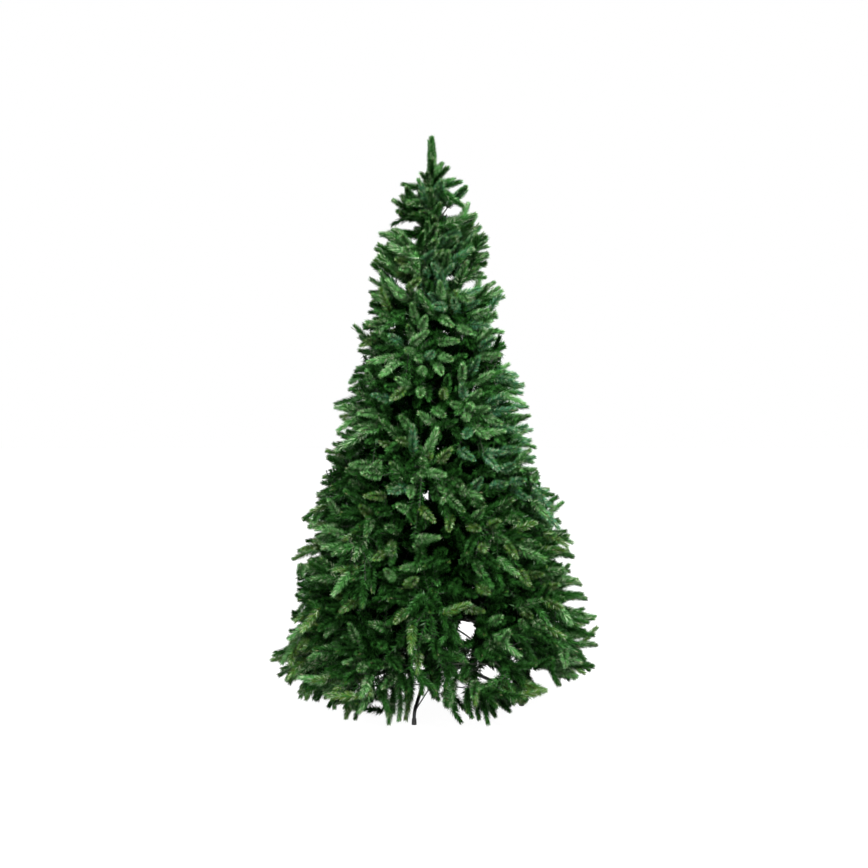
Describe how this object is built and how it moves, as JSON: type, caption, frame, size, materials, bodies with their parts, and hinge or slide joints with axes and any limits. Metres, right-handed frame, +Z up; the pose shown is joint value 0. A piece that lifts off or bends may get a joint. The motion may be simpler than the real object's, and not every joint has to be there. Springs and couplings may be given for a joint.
{
  "type": "artificial spruce tree on a folding metal stand",
  "caption": "Tall artificial spruce: a steel pole with tiers of wire boughs and dense needled tips, in a conical crown above a four-legged metal stand",
  "frame": {"origin": "on the pole's axis at floor level, in the middle of the stand's feet", "axes": "+Z up along the pole; -Y towards the viewer of the picture; +X to the viewer's right"},
  "size_m": [1.3662, 1.3057, 2.4],
  "materials": {
    "stand": "satin black paint on steel tube",
    "pole": "dark green paint on steel tube",
    "bough": "dark wire, partly bare",
    "needles": "matte green plastic needles"
  },
  "bodies": {
    "root": {"bough_t1_1": "bough", "bough_t1_2": "bough", "bough_t1_3": "bough", "bough_t1_4": "bough", "bough_t1_5": "bough", "bough_t1_6": "bough", "foliage_leader": "needles", "foliage_t1_1": "needles", "foliage_t1_2": "needles", "foliage_t1_3": "needles", "foliage_t1_4": "needles", "foliage_t1_5": "needles", "foliage_t1_6": "needles", "foliage_t2_1": "needles", "foliage_t2_2": "needles", "foliage_t2_3": "needles", "foliage_t2_4": "needles", "foliage_t2_5": "needles", "foliage_t2_6": "needles", "foliage_t3_1": "needles", "foliage_t3_2": "needles", "foliage_t3_3": "needles", "foliage_t3_4": "needles", "foliage_t3_5": "needles", "foliage_t4_1": "needles", "foliage_t4_2": "needles", "foliage_t4_3": "needles", "foliage_t4_4": "needles", "foliage_t4_5": "needles", "foliage_t5_1": "needles", "foliage_t5_2": "needles", "foliage_t5_3": "needles", "foliage_t5_4": "needles", "foliage_t6_1": "needles", "foliage_t6_2": "needles", "foliage_t6_3": "needles", "foliage_t6_4": "needles", "foliage_t7_1": "needles", "foliage_t7_2": "needles", "foliage_t7_3": "needles", "foliage_t7_4": "needles", "foliage_t8_1": "needles", "foliage_t8_2": "needles", "foliage_t8_3": "needles", "foliage_t9_1": "needles", "foliage_t9_2": "needles", "foliage_t9_3": "needles", "pole_lower": "pole", "pole_middle": "pole", "pole_upper": "pole", "stand_brace_1": "stand", "stand_brace_2": "stand", "stand_brace_3": "stand", "stand_brace_4": "stand", "stand_leg_1": "stand", "stand_leg_2": "stand", "stand_leg_3": "stand", "stand_leg_4": "stand", "stand_socket": "stand"}
  },
  "joints": []
}
